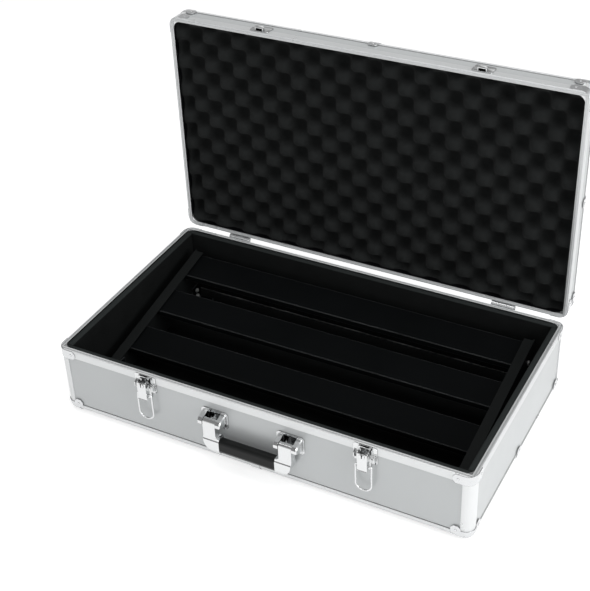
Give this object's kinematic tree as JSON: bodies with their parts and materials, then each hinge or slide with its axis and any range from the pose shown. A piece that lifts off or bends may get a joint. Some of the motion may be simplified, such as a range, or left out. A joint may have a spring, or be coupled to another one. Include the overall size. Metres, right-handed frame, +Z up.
{
  "type": "pedal case",
  "caption": "Shallow aluminium framed case with hinged foam lid, key latches, folding handle and a tilted board of slats for pedals.",
  "frame": {"origin": "centre of the outer face of the bottom panel, which the feet stand below", "axes": "+X along the front to the viewer's right, +Y from the front to the hinges, +Z up"},
  "size_m": [0.6436, 0.4309, 0.4876],
  "materials": {
    "aluminium_profile": "satin",
    "silver_laminate": "satin",
    "plated_steel": "polished",
    "bright_chrome": "polished",
    "black_grip": "satin",
    "black_rubber": "matte",
    "black_lining": "matte",
    "grey_foam": "matte",
    "zinc_screws": "satin",
    "black_steel": "satin"
  },
  "bodies": {
    "base": {"base_corner_caps": "plated_steel", "base_corner_posts": "aluminium_profile", "base_edge_clips": "plated_steel", "base_edges_long": "aluminium_profile", "base_edges_short": "aluminium_profile", "base_panel_back": "silver_laminate", "base_panel_bottom": "silver_laminate", "base_panel_front": "silver_laminate", "base_panel_left": "silver_laminate", "base_panel_right": "silver_laminate", "base_rim_corners": "plated_steel", "base_rims_long": "aluminium_profile", "base_rims_short": "aluminium_profile", "base_rivets": "plated_steel", "board_bracket_screws": "zinc_screws", "board_brackets": "black_steel", "board_rail_left": "black_steel", "board_rail_right": "black_steel", "board_slat_back": "black_steel", "board_slat_front": "black_steel", "board_slat_lower": "black_steel", "board_slat_screws": "zinc_screws", "board_slat_upper": "black_steel", "feet": "black_rubber", "floor_mat": "black_lining", "handle_brackets": "bright_chrome", "handle_pins": "bright_chrome", "hinge_base_leaves": "plated_steel", "hinge_pins": "plated_steel", "latch_pins": "bright_chrome", "latch_plates": "bright_chrome", "lining_back": "black_lining", "lining_front": "black_lining", "lining_sides": "black_lining"},
    "lid": {"hinge_lid_leaves": "plated_steel", "lid_corner_caps": "plated_steel", "lid_corner_posts": "aluminium_profile", "lid_edge_clips": "plated_steel", "lid_edges_long": "aluminium_profile", "lid_edges_short": "aluminium_profile", "lid_foam": "grey_foam", "lid_keepers": "bright_chrome", "lid_panel_back": "silver_laminate", "lid_panel_front": "silver_laminate", "lid_panel_left": "silver_laminate", "lid_panel_right": "silver_laminate", "lid_panel_top": "silver_laminate", "lid_rim_corners": "plated_steel", "lid_rims_long": "aluminium_profile", "lid_rims_short": "aluminium_profile", "lid_rivets": "plated_steel"},
    "lever_left": {"latch_lever_left": "bright_chrome", "latch_lock_left": "bright_chrome"},
    "lever_right": {"latch_lever_right": "bright_chrome", "latch_lock_right": "bright_chrome"},
    "bail_left": {"latch_bail_left": "bright_chrome"},
    "bail_right": {"latch_bail_right": "bright_chrome"},
    "handle": {"handle_arms": "bright_chrome", "handle_grip": "black_grip"}
  },
  "joints": [
    {"name": "lid_hinge", "type": "hinge", "parent": "base", "child": "lid", "pos_m": [0, 0.184, 0.11415], "axis": [-1, 0, 0], "range_deg": [-90, 0]},
    {"name": "lever_left_pivot", "type": "hinge", "parent": "base", "child": "lever_left", "pos_m": [-0.17, -0.1878, 0.1045], "axis": [1, 0, 0], "range_deg": [-110, 0]},
    {"name": "lever_right_pivot", "type": "hinge", "parent": "base", "child": "lever_right", "pos_m": [0.17, -0.1878, 0.1045], "axis": [1, 0, 0], "range_deg": [-110, 0]},
    {"name": "bail_left_pivot", "type": "hinge", "parent": "lever_left", "child": "bail_left", "pos_m": [-0.17, -0.1865, 0.084], "axis": [-1, 0, 0], "range_deg": [0, 183]},
    {"name": "bail_right_pivot", "type": "hinge", "parent": "lever_right", "child": "bail_right", "pos_m": [0.17, -0.1865, 0.084], "axis": [-1, 0, 0], "range_deg": [0, 183]},
    {"name": "handle_pivot", "type": "hinge", "parent": "base", "child": "handle", "pos_m": [0, -0.1925, 0.0775], "axis": [-1, 0, 0], "range_deg": [0, 95]}
  ]
}
